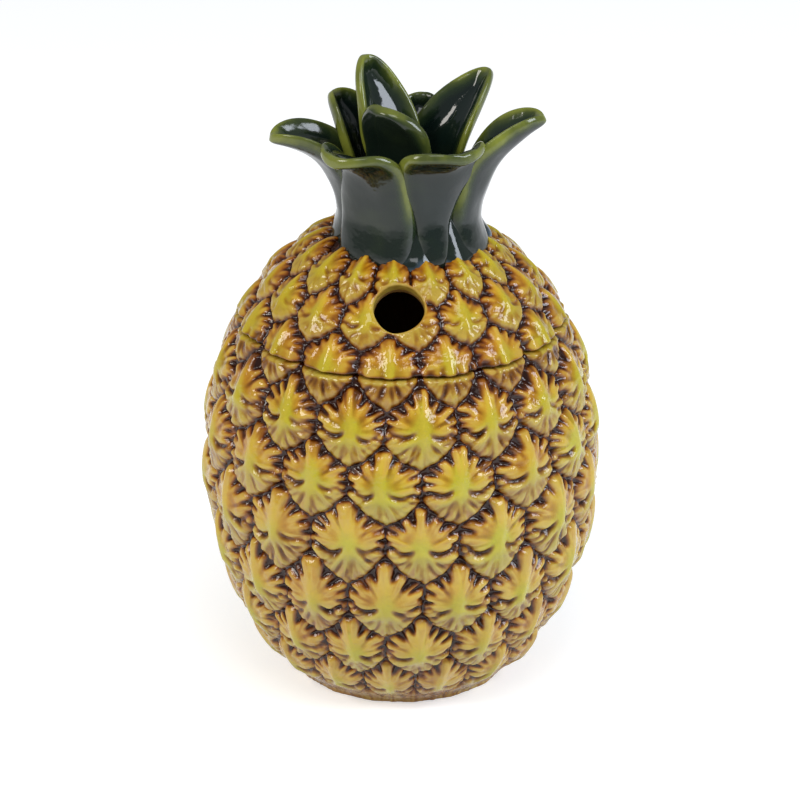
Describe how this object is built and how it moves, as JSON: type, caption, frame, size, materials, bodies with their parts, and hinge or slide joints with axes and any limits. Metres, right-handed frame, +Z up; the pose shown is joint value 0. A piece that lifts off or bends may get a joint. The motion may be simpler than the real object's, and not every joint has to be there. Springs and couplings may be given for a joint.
{
  "type": "pineapple drinking jar",
  "caption": "Glazed ceramic drinking jar shaped like a pineapple, with a scaled cup and a lift-off scaled lid that has a straw hole and a leafy crown.",
  "frame": {"origin": "on the table, in the middle of the foot", "axes": "+Z up through the crown, and the straw hole looks along -Y"},
  "size_m": [0.1072, 0.1072, 0.1704],
  "materials": {
    "scale_glaze": "glossy translucent yellow-green glaze on the scales, pooling brown in the grooves",
    "inner_glaze": "glossy honey-brown glaze",
    "leaf_glaze": "glossy dark bottle-green glaze, lighter on the rims"
  },
  "bodies": {
    "cup": {"cup": "scale_glaze"},
    "lid_lifter": {"lid_locating_ring": "inner_glaze"},
    "lid": {"lid_dome": "scale_glaze", "crown_core": "leaf_glaze", "leaf_front_left": "leaf_glaze", "leaf_front_right": "leaf_glaze", "leaf_left": "leaf_glaze", "leaf_right": "leaf_glaze", "leaf_back_right": "leaf_glaze", "leaf_back": "leaf_glaze", "leaf_back_left": "leaf_glaze", "leaf_inner_tall": "leaf_glaze", "leaf_inner_front": "leaf_glaze"}
  },
  "joints": [
    {"name": "lid_lift", "type": "slide", "parent": "cup", "child": "lid_lifter", "axis": [0, 0, 1], "range_m": [0, 0.06]},
    {"name": "lid_turn", "type": "hinge", "parent": "lid_lifter", "child": "lid", "pos_m": [0, 0, 0.1], "axis": [0, 0, 1], "continuous": true}
  ]
}
